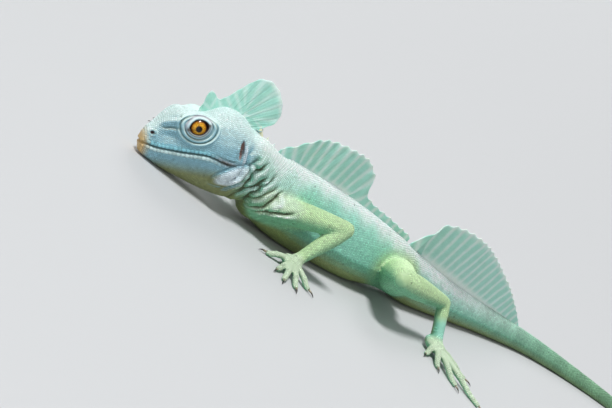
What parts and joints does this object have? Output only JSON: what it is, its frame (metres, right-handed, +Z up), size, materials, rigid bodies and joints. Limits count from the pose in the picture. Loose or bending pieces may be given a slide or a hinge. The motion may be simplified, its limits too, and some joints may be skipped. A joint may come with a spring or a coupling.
{
  "type": "green basilisk lizard model",
  "caption": "Life-size still model of an adult male green basilisk lizard, lying flat with its head turned and its fin-like crests raised.",
  "frame": {"origin": "on the flat of the belly, on the body's middle line, at the level that the animal lies on", "axes": "+X from the head towards the tail, -Y the animal's left side, +Z up"},
  "size_m": [0.6635, 0.2015, 0.066],
  "materials": {
    "head_skin": "fine pale blue-teal scales, satin",
    "body_skin": "fine mint and sea-green scales, satin",
    "limb_skin": "fine yellow-green scales, satin",
    "crest_skin": "thin ray-ribbed membrane, near-white mint",
    "eye": "wet, glossy, amber iris with a round black pupil",
    "claw": "dark horn, paler at the base"
  },
  "bodies": {
    "root": {"head": "head_skin", "eye_left": "eye", "eye_right": "eye", "head_crest": "crest_skin", "neck": "body_skin", "torso": "body_skin", "tail_1": "body_skin", "tail_2": "body_skin", "tail_3": "body_skin", "tail_4": "body_skin", "dorsal_crest": "crest_skin", "tail_crest": "crest_skin", "upper_arm_left": "limb_skin", "forearm_left": "limb_skin", "hand_left": "limb_skin", "finger_claw_left_1": "claw", "finger_claw_left_2": "claw", "finger_claw_left_3": "claw", "finger_claw_left_4": "claw", "finger_claw_left_5": "claw", "upper_arm_right": "limb_skin", "forearm_right": "limb_skin", "hand_right": "limb_skin", "finger_claw_right_1": "claw", "finger_claw_right_2": "claw", "finger_claw_right_3": "claw", "finger_claw_right_4": "claw", "finger_claw_right_5": "claw", "thigh_left": "limb_skin", "shank_left": "limb_skin", "foot_left": "limb_skin", "toe_claw_left_1": "claw", "toe_claw_left_2": "claw", "toe_claw_left_3": "claw", "toe_claw_left_4": "claw", "toe_claw_left_5": "claw", "thigh_right": "limb_skin", "shank_right": "limb_skin", "foot_right": "limb_skin", "toe_claw_right_1": "claw", "toe_claw_right_2": "claw", "toe_claw_right_3": "claw", "toe_claw_right_4": "claw", "toe_claw_right_5": "claw"}
  },
  "joints": []
}
